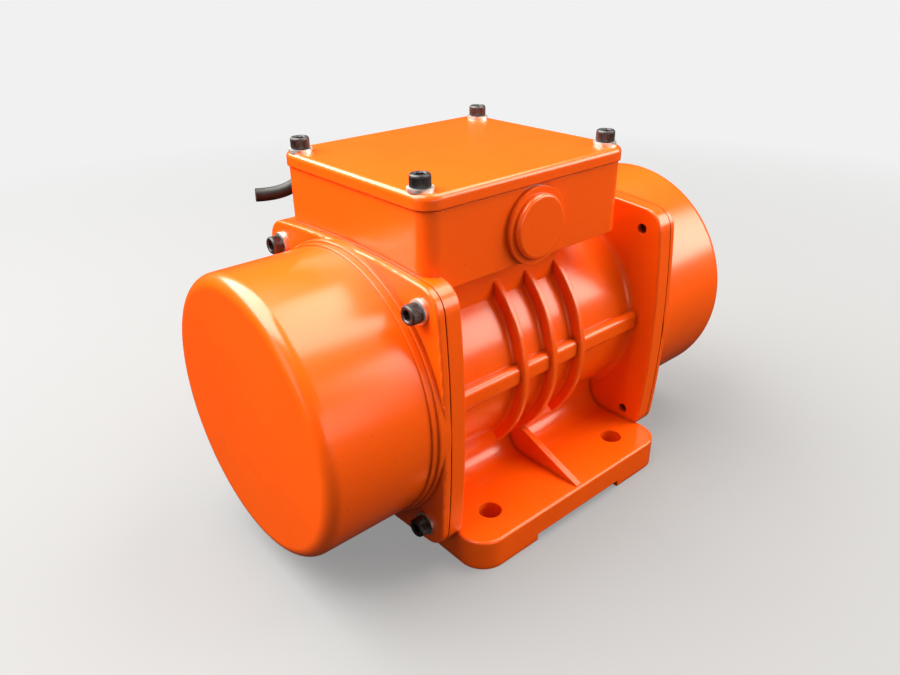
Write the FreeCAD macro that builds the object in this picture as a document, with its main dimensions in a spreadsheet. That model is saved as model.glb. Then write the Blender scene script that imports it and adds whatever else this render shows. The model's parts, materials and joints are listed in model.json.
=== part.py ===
import FreeCAD, Part
import math
import os
import re

import Sketcher

# Electric vibration motor with two pairs of unbalanced weights.
# Frame: X along the shaft, -Y the side with the blanking boss, +Z up, millimetres.
# Origin: centre of the four foot bolts, on the plane that the feet stand on.

SIZES = [
    # casting: foot
    ("foot_length", 156.0), ("foot_width", 181.0), ("foot_thickness", 18.0),
    ("foot_corner", 15.0), ("foot_edge", 1.5),
    ("bolt_pitch_x", 105.0), ("bolt_pitch_y", 140.0), ("foot_hole_radius", 6.5),
    ("relief_depth", 4.0), ("pad_length", 35.0), ("pad_width", 48.0),
    # casting: barrel, skirt, ribs, side bars, gussets
    ("shaft_height", 86.0), ("stator_radius", 52.0), ("barrel_wall", 7.5), ("barrel_flare", 4.0),
    ("skirt_half", 33.5), ("skirt_fillet", 13.0),
    ("rib_height", 7.0), ("rib_width", 4.6), ("rib_pitch", 22.8), ("rib_sweep", 268.0),
    ("rib_root", 1.6), ("rib_crest", 1.2),
    ("rib_sink", 1.0),
    ("bar_height", 12.0), ("bar_round", 3.5), ("bar_rise", 3.0), ("bar_inset", 2.5),
    ("gusset_width", 4.0), ("gusset_margin", 2.0), ("gusset_rise", 18.0), ("gusset_sink", 0.8),
    # flanges between the casting and the end covers
    ("parting_reach", 6.8), ("body_flange", 9.5), ("gasket", 0.6), ("cover_flange", 4.1),
    ("flange_margin", 15.5), ("flange_side_radius", 620.0), ("flange_corner", 13.0),
    ("flange_edge", 1.4), ("gasket_inset", 0.8), ("bolt_gap", 3.17),
    # terminal box and lid
    ("box_length", 138.4), ("box_width", 120.0), ("box_corner", 9.0), ("box_setback", 0.8),
    ("box_rise", 66.0), ("box_depth", 38.4), ("box_floor", 6.0), ("box_wall", 5.0),
    ("neck_overlap", 1.0), ("lid_thickness", 7.0), ("lid_overhang", 1.1), ("lid_edge", 2.8),
    ("lid_gasket", 0.6), ("lid_gasket_inset", 1.0),
    ("lid_screw_inset_x", 5.8), ("lid_screw_inset_y", 10.0),
    ("lid_boss_length", 13.6), ("lid_boss_width", 12.0),
    ("neck_wall", 8.0), ("well_half", 34.0), ("well_margin", 13.0), ("well_depth", 11.5),
    ("passage_radius", 10.0), ("passage_inset", 20.0),
    ("boss_margin", 0.5), ("boss_radius", 16.5), ("boss_depth", 5.5),
    ("boss_ring", 3.4), ("boss_ring_depth", 2.5), ("boss_edge", 1.8),
    # end covers
    ("cover_radius", 74.5), ("cover_gap", 5.5), ("cover_wall", 3.5), ("cover_edge", 7.0),
    ("step_height", 1.1), ("step_width", 6.0), ("collar_height", 2.4), ("collar_width", 2.6),
    ("step_edge", 0.5),
    # fasteners
    ("screw_radius", 3.0), ("screw_clearance", 0.3), ("head_radius", 5.0), ("head_height", 6.0),
    ("socket_size", 5.0), ("socket_depth", 3.0), ("washer_radius", 6.2), ("washer_thickness", 1.6),
    ("lid_screw_length", 22.0), ("cover_screw_length", 12.0), ("screw_spare", 1.0),
    ("small_screw", 2.5), ("small_clearance", 0.25), ("small_head", 4.25),
    ("small_head_height", 5.0), ("small_socket", 4.0), ("cap_screw_length", 12.0),
    # bearings, shields and caps
    ("shield_plate", 4.0), ("shield_screw_inset", 6.6), ("shield_margin", 4.9), ("shoulder", 2.0),
    ("bearing_recess", 3.8), ("bearing_width", 17.0), ("bearing_radius", 31.0),
    ("bearing_bore", 12.5), ("race_depth", 3.55), ("ball_radius", 5.7), ("ball_count", 7.0),
    ("race_play", 0.05), ("shoulder_height", 5.0), ("cap_ring", 4.0), ("cap_screw_inset", 6.0),
    ("cap_margin", 5.0), ("cap_plate", 4.0), ("cap_play", 0.8),
    # stator and rotor
    ("stator_half", 32.0), ("stator_bore", 30.4), ("air_gap", 0.4), ("tooth_tip", 4.1),
    ("stator_back", 8.5), ("slot_width", 4.2), ("slot_mouth", 1.6), ("slot_count", 24.0),
    ("slot_liner", 0.2), ("winding_back", 4.0), ("winding_gap", 12.0),
    ("end_ring", 8.0), ("end_ring_step", 3.0), ("cage_step", 0.2),
    ("core_spare", 6.0), ("shaft_step", 2.5), ("core_step", 2.0), ("thread_step", 2.5),
    ("thread_spare", 1.0), ("sleeve_wall", 3.5),
    # unbalanced weights
    ("weight_clearance", 1.2), ("weight_width", 18.0), ("weight_gap", 0.5), ("weight_tip", 9.0),
    ("weight_angle", 160.0), ("hub_wall", 11.5),
    ("key_width", 8.0), ("key_height", 7.0), ("key_seat", 4.0), ("key_margin", 1.0),
    ("running_fit", 0.05), ("clamp_half", 13.0), ("clamp_wall", 4.0), ("clamp_cover", 5.5),
    ("clamp_slot", 3.0), ("clamp_screw", 4.0), ("clamp_head", 6.5),
    ("nut_wall", 7.3), ("nut_height", 9.0), ("washer_wall", 8.0), ("washer_plate", 2.0),
    # terminal block in the box
    ("block_inset", 33.0), ("block_length", 50.0), ("block_width", 32.0), ("block_height", 11.0),
    ("block_margin", 4.0), ("barrier_height", 5.0), ("barrier_thickness", 2.0),
    ("stud_radius", 2.0), ("stud_height", 13.0), ("stud_seat", 5.0), ("stud_pitch_x", 16.0),
    ("stud_pitch_y", 16.0), ("nut_size", 4.0), ("small_nut_height", 3.0), ("lug_radius", 3.5),
    ("link_thickness", 1.0), ("block_screw_inset", 3.5), ("block_screw_head", 3.5),
    ("earth_inset_x", 9.0), ("earth_inset_y", 12.0), ("earth_screw_length", 5.0),
    # cable gland, cable, its cores and the motor's leads
    ("gland_rise", 18.0), ("gland_hole", 10.0), ("gland_hex", 13.9), ("gland_hex_width", 8.0),
    ("gland_thread", 10.5), ("gland_thread_length", 9.0), ("gland_nut_radius", 12.8),
    ("gland_nut_length", 10.0), ("gland_dome_length", 7.0), ("gland_dome_radius", 9.5),
    ("gland_locknut", 5.0), ("locknut_radius", 13.2), ("gland_bore", 6.2), ("seal_length", 24.0),
    ("seal_lip", 3.0), ("cable_radius", 4.5), ("cable_tail", 16.0),
    ("core_radius", 1.3), ("core_spread", 2.0), ("core_bend", 7.0), ("core_run", 8.0),
    ("lead_radius", 1.2), ("lead_pitch", 2.6), ("lead_rise", 5.0), ("wire_gap", 0.3),
]

# Sizes that follow from the ones above, so that what belongs together moves together.
DERIVED = {
    # casting
    "relief_length": "bolt_pitch_x - pad_length",
    "relief_width": "bolt_pitch_y - pad_width",
    "barrel_radius": "stator_radius + barrel_wall",
    "rib_radius": "barrel_radius + rib_height",
    "bar_reach": "rib_radius - bar_inset",
    "gusset_reach": "foot_width / 2 - gusset_margin",
    "gusset_top": "sqrt(rib_radius^2 - (shaft_height - foot_thickness - gusset_rise)^2) - gusset_sink",
    "parting_x": "foot_length / 2 + parting_reach",
    "flange_inner": "parting_x - body_flange",
    "flange_outer": "parting_x + gasket + cover_flange",
    # terminal box
    "box_left": "box_setback - parting_x",
    "box_right": "box_left + box_length",
    "box_centre_x": "box_left + box_length / 2",
    "box_bottom": "shaft_height + box_rise",
    "box_top": "box_bottom + box_depth",
    "lid_bottom": "box_top + lid_gasket",
    "lid_top": "lid_bottom + lid_thickness",
    "well_floor": "box_bottom + box_floor - well_depth",
    "well_start": "box_left + box_wall + well_margin",
    "passage_x": "well_start + passage_inset",
    "block_x": "passage_x + block_inset",
    "well_end": "block_x + block_length / 2 + block_margin",
    "neck_end": "well_end + neck_wall",
    "neck_half": "well_half + neck_wall",
    "boss_height": "box_top - boss_margin - boss_ring - boss_radius",
    "gland_height": "box_bottom + gland_rise",
    # end covers and their bolts
    "step_radius": "cover_radius + step_height",
    "collar_radius": "cover_radius + collar_height",
    "bolt_circle": "collar_radius + washer_radius + bolt_gap",
    "cover_bolt_pitch": "sqrt(2) * bolt_circle",
    "flange_half": "cover_bolt_pitch / 2 + flange_margin",
    "cover_end": "shaft_end + cover_gap + cover_wall",
    # bearings
    "bearing_inner_x": "parting_x - bearing_recess - bearing_width",
    "bearing_outer_x": "parting_x - bearing_recess",
    "shield_inner": "bearing_inner_x - shoulder",
    "shield_screw_circle": "stator_radius + shield_screw_inset",
    "shield_radius": "shield_screw_circle + shield_margin",
    "ball_circle": "(bearing_bore + bearing_radius) / 2",
    "inner_race": "ball_circle - race_depth",
    "outer_race": "ball_circle + race_depth",
    "shoulder_bore": "bearing_radius - shoulder_height",
    "cap_screw_circle": "bearing_radius + cap_screw_inset",
    "cap_radius": "cap_screw_circle + cap_margin",
    "cap_outer": "parting_x + cap_plate",
    "cap_ring_bore": "bearing_radius - cap_ring",
    "sleeve_radius": "bearing_bore + sleeve_wall",
    "cap_bore": "sleeve_radius + cap_play",
    # stator, rotor and shaft
    "slot_inner": "stator_bore + tooth_tip",
    "slot_outer": "stator_radius - stator_back",
    "winding_outer": "stator_radius - winding_back",
    "winding_end": "shield_inner - winding_gap",
    "rotor_radius": "stator_bore - air_gap",
    "cage_radius": "rotor_radius - cage_step",
    "shaft_shoulder": "bearing_bore + shaft_step",
    "shaft_core": "shaft_shoulder + core_step",
    "shaft_core_half": "winding_end + core_spare",
    "end_ring_bore": "shaft_core + end_ring_step",
    "thread_radius": "bearing_bore - thread_step",
    "thread_start": "weight_end + weight_width + 2 * weight_gap",
    "shaft_end": "thread_start + washer_plate + nut_height + thread_spare",
    # weights
    "weight_start": "cap_outer + small_head_height + weight_clearance",
    "weight_end": "weight_start + weight_width",
    "weight_radius": "cover_radius - cover_wall - weight_tip",
    "hub_radius": "bearing_bore + hub_wall",
    "clamp_rise": "bearing_bore + clamp_screw + clamp_wall",
    "clamp_lug": "clamp_rise + clamp_screw + clamp_cover",
    # terminal block, gland and wires
    "block_top": "well_floor + block_height",
    "block_screw_x": "block_length / 2 - block_screw_inset",
    "earth_x": "well_start + earth_inset_x",
    "earth_y": "well_half - earth_inset_y",
    "locknut_start": "box_width / 2 - box_wall - gland_locknut",
    "gland_nut_start": "box_width / 2 + gland_hex_width",
    "gland_exit": "gland_nut_start + gland_nut_length + gland_dome_length + seal_lip",
    "seal_start": "gland_exit - seal_length",
    "cable_inside": "box_width / 2 - cable_tail",
    "wire_end": "stud_pitch_y / 2 + nut_size + wire_gap",
}
NAMES = {name for name, _ in SIZES}

# Route of the free cable to its cut end, measured from the gland's exit.
CABLE_ROUTE = [(0.0, 0.0, 0.0), (0.0, 18.0, 0.0), (-3.2, 36.5, -5.0),
               (-12.2, 52.0, -13.0), (-25.2, 62.5, -20.0), (-39.7, 68.5, -25.5)]

doc = FreeCAD.newDocument("vibration_motor")
sheet = doc.addObject("Spreadsheet::Sheet", "sizes")
for row, (name, value) in enumerate(SIZES, 1):
    sheet.set(f"A{row}", name)
    sheet.set(f"B{row}", str(value))
    sheet.setAlias(f"B{row}", name)
doc.recompute()

NODES = []
V3 = FreeCAD.Vector
ALONG_X = FreeCAD.Rotation(V3(0, 1, 0), 90)
ALONG_MINUS_X = FreeCAD.Rotation(V3(0, 1, 0), -90)
ALONG_Y = FreeCAD.Rotation(V3(1, 0, 0), -90)
UPRIGHT = FreeCAD.Rotation()


def cells(text):
    """The expression with every size written out as cells of the sheet."""
    def written_out(match):
        name = match.group()
        if name in DERIVED:
            return f"({cells(DERIVED[name])})"
        return f"sizes.{name}" if name in NAMES else name

    return re.sub(r"[a-z_][a-z_0-9]*", written_out, text)


def size(text):
    """Value of an expression in the sheet's sizes."""
    return float(sheet.evalExpression(cells(str(text))))


def bind(obj, **properties):
    """Binds properties to expressions in the sheet's sizes."""
    for name, text in properties.items():
        obj.setExpression(name.replace("__", "."), cells(str(text)))
    return obj


def place(obj, at, turn=UPRIGHT):
    """Puts an object at a point given by three expressions."""
    obj.Placement = FreeCAD.Placement(V3(0, 0, 0), turn)
    for axis, text in zip("xyz", at):
        obj.setExpression("Placement.Base." + axis, cells(str(text)))
    return obj


def keep(obj, name):
    """Registers an object as a sub-part, with its node's name."""
    obj.Label = name
    NODES.append(obj)
    return obj


# ---- Part primitives -------------------------------------------------------------------

def cylinder(radius, length, at, turn=ALONG_X):
    obj = bind(doc.addObject("Part::Cylinder", "cylinder"), Radius=radius, Height=length)
    return place(obj, at, turn)


def block(length, width, height, at):
    obj = doc.addObject("Part::Box", "block")
    return place(bind(obj, Length=length, Width=width, Height=height), at)


def hexagon(radius, length, at, turn=ALONG_X):
    obj = doc.addObject("Part::Prism", "hexagon")
    obj.Polygon = 6
    return place(bind(obj, Circumradius=radius, Height=length), at, turn)


def fuse(*parts):
    obj = doc.addObject("Part::MultiFuse", "fuse")
    obj.Shapes = list(parts)
    return obj


def cut(base, *tools):
    obj = doc.addObject("Part::Cut", "cut")
    obj.Base = base
    obj.Tool = tools[0] if len(tools) == 1 else fuse(*tools)
    return obj


def group(*parts):
    """Separate solids that share one node."""
    obj = doc.addObject("Part::Compound", "group")
    obj.Links = list(parts)
    return obj


def ring(outer, inner, length, at, turn=ALONG_X):
    return cut(cylinder(outer, length, at, turn), cylinder(inner, length, at, turn))


def end_at(side, distance, thickness="0"):
    """X of the low end of a piece that lies outward from a distance, on one side."""
    return f"{distance}" if side > 0 else f"-({distance}) - ({thickness})"


def socket_screw(at, along, head=("head_radius", "head_height"), shank="screw_radius",
                 length="cover_screw_length", socket="socket_size"):
    """Hexagon socket head screw, seated at a point, its head standing along a direction."""
    x, y, z = at
    radius, height = head
    if along == "z":
        turn, head_at = UPRIGHT, at
        shank_at = (x, y, f"({z}) - ({length})")
        key_at = (x, y, f"({z}) + ({height}) - socket_depth")
    else:
        turn = ALONG_X if along == "x" else ALONG_MINUS_X
        sign = 1 if along == "x" else -1
        head_at = at
        shank_at = (f"({x}) - ({sign}) * ({length})", y, z)
        key_at = (f"({x}) + ({sign}) * (({height}) - socket_depth)", y, z)
    body = fuse(cylinder(radius, height, head_at, turn), cylinder(shank, length, shank_at, turn))
    return cut(body, hexagon(f"({socket}) / sqrt(3)", "2 * socket_depth", key_at, turn))


# ---- PartDesign helpers ----------------------------------------------------------------

def new_body(name, height="0"):
    """Body whose origin lies on the Z axis at a height."""
    body = keep(doc.addObject("PartDesign::Body", name), name)
    body.setExpression("Placement.Base.z", cells(height))
    return body


def origin_feature(body, role):
    return next(f for f in body.Origin.OriginFeatures if f.Role == role)


def sketch_on(body, name, role, offset="0"):
    """Sketch on one of the body's own origin planes, moved along the plane's normal."""
    sketch = body.newObject("Sketcher::SketchObject", name)
    sketch.AttachmentSupport = [(origin_feature(body, role), "")]
    sketch.MapMode = "FlatFace"
    sketch.setExpression("AttachmentOffset.Base.z", cells(offset))
    return sketch


def fix(sketch, kind, *target):
    """Adds a constraint whose value is the expression that comes last."""
    *elements, text = target
    value = size(text)
    index = sketch.addConstraint(Sketcher.Constraint(kind, *elements, value))
    sketch.setExpression(f"Constraints[{index}]", cells(str(text)))


def fix_point(sketch, geometry, point, x, y):
    """Ties a point of the sketch to two expressions."""
    fix(sketch, "DistanceX", -1, 1, geometry, point, x)
    fix(sketch, "DistanceY", -1, 1, geometry, point, y)


def outline(sketch, points):
    """Closed outline through points given by expressions.

    A point may add the centre of the arc that starts there and the arc's sense, 1 for
    anticlockwise and -1 for clockwise; other points start a straight side.
    """
    spots = [V3(size(point[0]), size(point[1]), 0) for point in points]
    first = sketch.GeometryCount
    count = len(points)
    ends = []
    for i, point in enumerate(points):
        a, b = spots[i], spots[(i + 1) % count]
        if len(point) == 2:
            sketch.addGeometry(Part.LineSegment(a, b))
            ends.append((1, 2))
            continue
        centre, sense = V3(size(point[2]), size(point[3]), 0), point[4]
        if sense < 0:
            a, b = b, a
        start, end = (math.atan2(spot.y - centre.y, spot.x - centre.x) for spot in (a, b))
        circle = Part.Circle(centre, V3(0, 0, 1), (a - centre).Length)
        sketch.addGeometry(Part.ArcOfCircle(circle, start, end))
        ends.append((1, 2) if sense > 0 else (2, 1))
    for i in range(count):
        after = (i + 1) % count
        sketch.addConstraint(Sketcher.Constraint("Coincident", first + i, ends[i][1],
                                                 first + after, ends[after][0]))
    for i, point in enumerate(points):
        fix_point(sketch, first + i, ends[i][0], point[0], point[1])
        if len(point) > 2:
            chord = spots[(i + 1) % count] - spots[i]
            if abs(chord.x) > abs(chord.y):
                fix(sketch, "DistanceY", -1, 1, first + i, 3, point[3])
            else:
                fix(sketch, "DistanceX", -1, 1, first + i, 3, point[2])


def rectangle(sketch, x0, x1, y0, y1):
    outline(sketch, [(x0, y0), (x1, y0), (x1, y1), (x0, y1)])


def rounded_rectangle(sketch, x0, x1, y0, y1, radius):
    near_x, far_x = f"{x0} + {radius}", f"{x1} - ({radius})"
    near_y, far_y = f"{y0} + {radius}", f"{y1} - ({radius})"
    outline(sketch, [
        (near_x, y0), (far_x, y0, far_x, near_y, 1),
        (x1, near_y), (x1, far_y, far_x, far_y, 1),
        (far_x, y1), (near_x, y1, near_x, far_y, 1),
        (x0, far_y), (x0, near_y, near_x, near_y, 1)])


def circles(sketch, radius, centres):
    for x, y in centres:
        centre = V3(size(x), size(y), 0)
        index = sketch.addGeometry(Part.Circle(centre, V3(0, 0, 1), size(radius)))
        fix(sketch, "Radius", index, radius)
        fix_point(sketch, index, 3, x, y)


def corners(pitch_x, pitch_y, x="0", y="0"):
    """Four points on a rectangle."""
    return [(f"({x}) + ({i}) * ({pitch_x}) / 2", f"({y}) + ({j}) * ({pitch_y}) / 2")
            for i in (-1, 1) for j in (-1, 1)]


def check(obj):
    """Stops the build at a feature that failed."""
    if {"Invalid", "Error"} & set(obj.State) or obj.Shape.isNull() or not obj.Shape.isValid():
        raise RuntimeError(f"{obj.Label} ({obj.Name}): {obj.State}")


def pad(body, sketch, length, name="pad"):
    feature = body.newObject("PartDesign::Pad", name)
    feature.Profile = sketch
    bind(feature, Length=length)
    doc.recompute()
    check(feature)
    return feature


def pocket(body, sketch, length, name="pocket"):
    """Cuts against the sketch's normal and checks that it removed material."""
    before = body.Shape.Volume
    feature = body.newObject("PartDesign::Pocket", name)
    feature.Profile = sketch
    bind(feature, Length=length)
    doc.recompute()
    if not body.Shape.Volume < before - 1e-3:
        raise RuntimeError(f"{sketch.Label} cuts nothing")
    return feature


def revolve(body, sketch, angle, name):
    """Turns a profile about its sketch's horizontal axis, half of the angle to each side."""
    feature = body.newObject("PartDesign::Revolution", name)
    feature.Profile = sketch
    feature.ReferenceAxis = (sketch, ["H_Axis"])
    feature.Midplane = True
    bind(feature, Angle=angle)
    doc.recompute()
    check(feature)


def join(body, other):
    """Fuses another body into this one."""
    feature = body.newObject("PartDesign::Boolean", "join")
    feature.Type = "Fuse"
    feature.setObjects([other])
    doc.recompute()
    check(feature)


def fillet(body, radius, chosen, name="fillet"):
    """Rounds the edges of the body's last feature that the test chooses."""
    base = body.Tip
    edges = [f"Edge{i}" for i, edge in enumerate(base.Shape.Edges, 1) if chosen(edge)]
    if not edges:
        raise RuntimeError(f"{body.Label}: no edges to round")
    feature = body.newObject("PartDesign::Fillet", name)
    feature.Base = (base, edges)
    bind(feature, Radius=radius)
    doc.recompute()
    check(feature)
    return feature


def lies(edge, axis, value):
    """True when the whole edge has one coordinate."""
    box = edge.BoundBox
    low = (box.XMin, box.YMin, box.ZMin)[axis]
    high = (box.XMax, box.YMax, box.ZMax)[axis]
    return abs(low - value) < 1e-4 and abs(high - value) < 1e-4


def round_edge(edge, radius):
    """True for an edge on a circle of a radius."""
    return isinstance(edge.Curve, Part.Circle) and abs(edge.Curve.Radius - radius) < 1e-4


def flange_outline(sketch, inset="0"):
    """Square with bulging sides and round corners about the shaft, in Y and Z."""
    reach = "(flange_side_radius - flange_half)"
    radius = f"(flange_side_radius - {inset})"
    inner = "(flange_side_radius - flange_corner)"
    centre = f"((sqrt(2 * {inner}^2 - {reach}^2) - {reach}) / 2)"
    far = f"(({centre} + {reach}) * {radius} / {inner} - {reach})"
    close = f"({centre} * {radius} / {inner})"

    def spot(y, z, *rest):
        return (y, f"shaft_height + ({z})", *rest)

    outline(sketch, [
        spot(far, f"-{close}", f"-{reach}", "shaft_height", 1),
        spot(far, close, centre, f"shaft_height + {centre}", 1),
        spot(close, far, "0", f"shaft_height - {reach}", 1),
        spot(f"-{close}", far, f"-{centre}", f"shaft_height + {centre}", 1),
        spot(f"-{far}", close, reach, "shaft_height", 1),
        spot(f"-{far}", f"-{close}", f"-{centre}", f"shaft_height - {centre}", 1),
        spot(f"-{close}", f"-{far}", "0", f"shaft_height + {reach}", 1),
        spot(close, f"-{far}", centre, f"shaft_height - {centre}", 1)])


BOLTS = corners("cover_bolt_pitch", "cover_bolt_pitch", "0", "shaft_height")
LID_SCREWS = corners("box_length - 2 * lid_screw_inset_x", "box_width - 2 * lid_screw_inset_y",
                     "box_centre_x")
BLOCK_SCREWS = [("block_x - block_screw_x", "0"), ("block_x + block_screw_x", "0")]
SHAFT = ("0", "shaft_height")


# ---- housing casting -------------------------------------------------------------------

def housing():
    body = new_body("motor_housing")
    barrel_and_flanges(body)

    skirt = sketch_on(body, "skirt_outline", "YZ_Plane", "-(parting_x - body_flange / 2)")
    foot_top, wide = "foot_thickness", "(skirt_half + skirt_fillet)"
    outline(skirt, [
        (wide, f"{foot_top} - relief_depth"),
        (wide, foot_top, wide, f"{foot_top} + skirt_fillet", -1),
        ("skirt_half", f"{foot_top} + skirt_fillet"),
        ("skirt_half", "shaft_height"), ("-skirt_half", "shaft_height"),
        ("-skirt_half", f"{foot_top} + skirt_fillet", f"-{wide}", f"{foot_top} + skirt_fillet", -1),
        (f"-{wide}", foot_top), (f"-{wide}", f"{foot_top} - relief_depth")])
    pad(body, skirt, "2 * parting_x - body_flange", "skirt")

    bars = sketch_on(body, "bar_outline", "YZ_Plane", "-flange_inner")
    middle = "shaft_height + bar_rise"
    rounded_rectangle(bars, "-bar_reach", "bar_reach", f"{middle} - bar_height / 2",
                      f"{middle} + bar_height / 2", "bar_round")
    pad(body, bars, "2 * flange_inner", "side_bars")

    join(body, foot())
    ribs(body)
    terminal_box(body)
    bores(body)


def barrel_and_flanges(body):
    """Barrel between two flanges, rounded where they meet and at the flanges' rims."""
    start = sketch_on(body, "flange_outline", "YZ_Plane", "-parting_x")
    flange_outline(start)
    pad(body, start, "body_flange", "flange")
    barrel = sketch_on(body, "barrel_outline", "YZ_Plane", "-parting_x")
    circles(barrel, "barrel_radius", [SHAFT])
    pad(body, barrel, "2 * parting_x", "barrel")
    end = sketch_on(body, "flange_outline", "YZ_Plane", "flange_inner")
    flange_outline(end)
    pad(body, end, "body_flange", "flange")

    def on_inner_face(edge):
        return any(lies(edge, 0, side * size("flange_inner")) for side in (-1, 1))

    fillet(body, "barrel_flare",
           lambda e: on_inner_face(e) and round_edge(e, size("barrel_radius")), "flare")
    fillet(body, "flange_edge",
           lambda e: on_inner_face(e) and not round_edge(e, size("barrel_radius + barrel_flare")),
           "rims")


def foot():
    body = doc.addObject("PartDesign::Body", "foot")
    plate = sketch_on(body, "foot_outline", "XY_Plane")
    rounded_rectangle(plate, "-foot_length / 2", "foot_length / 2",
                      "-foot_width / 2", "foot_width / 2", "foot_corner")
    pad(body, plate, "foot_thickness", "plate")
    fillet(body, "foot_edge", lambda e: lies(e, 2, size("foot_thickness")))
    return body


def ribs(body):
    """Two ribs round the barrel's sides, and a whole one in the middle with its gussets."""
    for middle, sweep in (("-rib_pitch", "rib_sweep"), ("0", "360"), ("rib_pitch", "rib_sweep")):
        rib = sketch_on(body, "rib_profile", "XZ_Plane")
        rib.setExpression("AttachmentOffset.Base.y", cells("shaft_height"))
        half, root = "rib_width / 2", "barrel_radius + rib_root"
        crest = "rib_radius - rib_crest"
        right = [("rib_root", "barrel_radius - rib_sink"),
                 ("rib_root", "barrel_radius", "rib_root", root, -1),
                 ("0", root),
                 ("0", crest, "-rib_crest", crest, 1),
                 ("-rib_crest", "rib_radius")]
        left = [("rib_crest", "rib_radius", "rib_crest", crest, 1),
                ("0", crest), ("0", root, "-rib_root", root, -1),
                ("-rib_root", "barrel_radius"), ("-rib_root", "barrel_radius - rib_sink")]
        points = []
        for side, flank in (("+", right), ("-", left)):
            for x, r, *arc in flank:
                centre = [f"{middle} {side} {half} + ({arc[0]})", *arc[1:]] if arc else []
                points.append((f"{middle} {side} {half} + ({x})", r, *centre))
        outline(rib, points)
        revolve(body, rib, sweep, "rib")

    gusset = sketch_on(body, "gusset_outline", "YZ_Plane", "-gusset_width / 2")
    low, root = "foot_thickness - relief_depth / 2", "foot_thickness + foot_edge / 2"
    high = "foot_thickness + gusset_rise"
    outline(gusset, [("-gusset_reach", low), ("gusset_reach", low), ("gusset_reach", root),
                     ("gusset_top", high), ("-gusset_top", high), ("-gusset_reach", root)])
    pad(body, gusset, "gusset_width", "gussets")


def cavity_outline(sketch):
    """Inside of the box, with a solid post left in each corner for a lid screw."""
    half_x, half_y = "(box_length / 2 - box_wall)", "(box_width / 2 - box_wall)"
    step_x, step_y = f"({half_x} - lid_boss_length)", f"({half_y} - lid_boss_width)"
    quarter = [(half_x, step_y), (step_x, step_y), (step_x, half_y)]
    points = [(x, y) for x, y in quarter]
    points += [(f"-{x}", y) for x, y in reversed(quarter)]
    points += [(f"-{x}", f"-{y}") for x, y in quarter]
    points += [(x, f"-{y}") for x, y in reversed(quarter)]
    outline(sketch, [(f"box_centre_x + ({x})", y) for x, y in points])


def terminal_box(body):
    """Neck, box, screw posts and the blanking boss on its side."""
    neck = sketch_on(body, "neck_outline", "XY_Plane", "shaft_height")
    rectangle(neck, "-(parting_x - body_flange / 2)", "neck_end", "-neck_half", "neck_half")
    pad(body, neck, "box_bottom + neck_overlap - shaft_height", "neck")
    box = sketch_on(body, "box_outline", "XY_Plane", "box_bottom")
    rounded_rectangle(box, "box_left", "box_right", "-box_width / 2", "box_width / 2", "box_corner")
    pad(body, box, "box_depth", "box")
    for radius, depth in (("boss_radius + boss_ring", "boss_ring_depth"), ("boss_radius", "boss_depth")):
        boss = sketch_on(body, "boss_outline", "XZ_Plane", "box_width / 2 - box_wall / 2")
        circles(boss, radius, [("box_centre_x", "boss_height")])
        pad(body, boss, f"{depth} + box_wall / 2", "boss")
    fillet(body, "boss_edge", lambda e: lies(e, 1, -size("box_width / 2 + boss_depth")))

    cavity = sketch_on(body, "cavity_outline", "XY_Plane", "box_top")
    cavity_outline(cavity)
    pocket(body, cavity, "box_depth - box_floor", name="cavity")
    well = sketch_on(body, "well_outline", "XY_Plane", "box_bottom + box_floor")
    rectangle(well, "well_start", "well_end", "-well_half", "well_half")
    pocket(body, well, "box_bottom + box_floor - well_floor", name="well")


def bores(body):
    """Machined bores, screw holes and the relief under the foot."""
    bore = sketch_on(body, "bore_outline", "YZ_Plane", "parting_x")
    circles(bore, "stator_radius", [SHAFT])
    pocket(body, bore, "2 * parting_x", name="stator_bore")
    for seat_start, hole_start in (("parting_x", "parting_x"),
                                   ("-parting_x + shield_plate", "-flange_inner")):
        seat = sketch_on(body, "shield_seat_outline", "YZ_Plane", seat_start)
        circles(seat, "shield_radius", [SHAFT])
        pocket(body, seat, "shield_plate", name="shield_seat")
        holes = sketch_on(body, "screw_hole_outline", "YZ_Plane", hole_start)
        circles(holes, "small_screw", shield_screw_places())
        circles(holes, "screw_radius", BOLTS)
        pocket(body, holes, "body_flange", name="screw_holes")

    holes = sketch_on(body, "foot_hole_outline", "XY_Plane", "foot_thickness")
    circles(holes, "foot_hole_radius", corners("bolt_pitch_x", "bolt_pitch_y"))
    pocket(body, holes, "foot_thickness", name="foot_holes")
    relief = sketch_on(body, "relief_outline", "XY_Plane", "relief_depth")
    rectangle(relief, "-relief_length / 2", "relief_length / 2", "-foot_width", "foot_width")
    pocket(body, relief, "relief_depth", name="cross_relief")
    channel = sketch_on(body, "channel_outline", "XY_Plane", "relief_depth")
    rectangle(channel, "-foot_length", "foot_length", "-relief_width / 2", "relief_width / 2")
    pocket(body, channel, "relief_depth", name="long_relief")

    lid_holes = sketch_on(body, "lid_hole_outline", "XY_Plane", "box_top")
    circles(lid_holes, "screw_radius", LID_SCREWS)
    pocket(body, lid_holes, "lid_screw_length - lid_thickness - washer_thickness + screw_spare",
           name="lid_screw_holes")
    passage = sketch_on(body, "passage_outline", "XY_Plane", "well_floor")
    circles(passage, "passage_radius", [("passage_x", "0")])
    pocket(body, passage, "well_floor - shaft_height", name="cable_passage")
    gland = sketch_on(body, "gland_hole_outline", "XZ_Plane", "-box_width / 2 + box_wall")
    circles(gland, "gland_hole", [("box_centre_x", "gland_height")])
    pocket(body, gland, "box_wall", name="gland_hole")
    block_holes = sketch_on(body, "block_hole_outline", "XY_Plane", "well_floor")
    circles(block_holes, "stud_radius", BLOCK_SCREWS + [("earth_x", "earth_y")])
    pocket(body, block_holes, "earth_screw_length", name="block_screw_holes")


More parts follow.
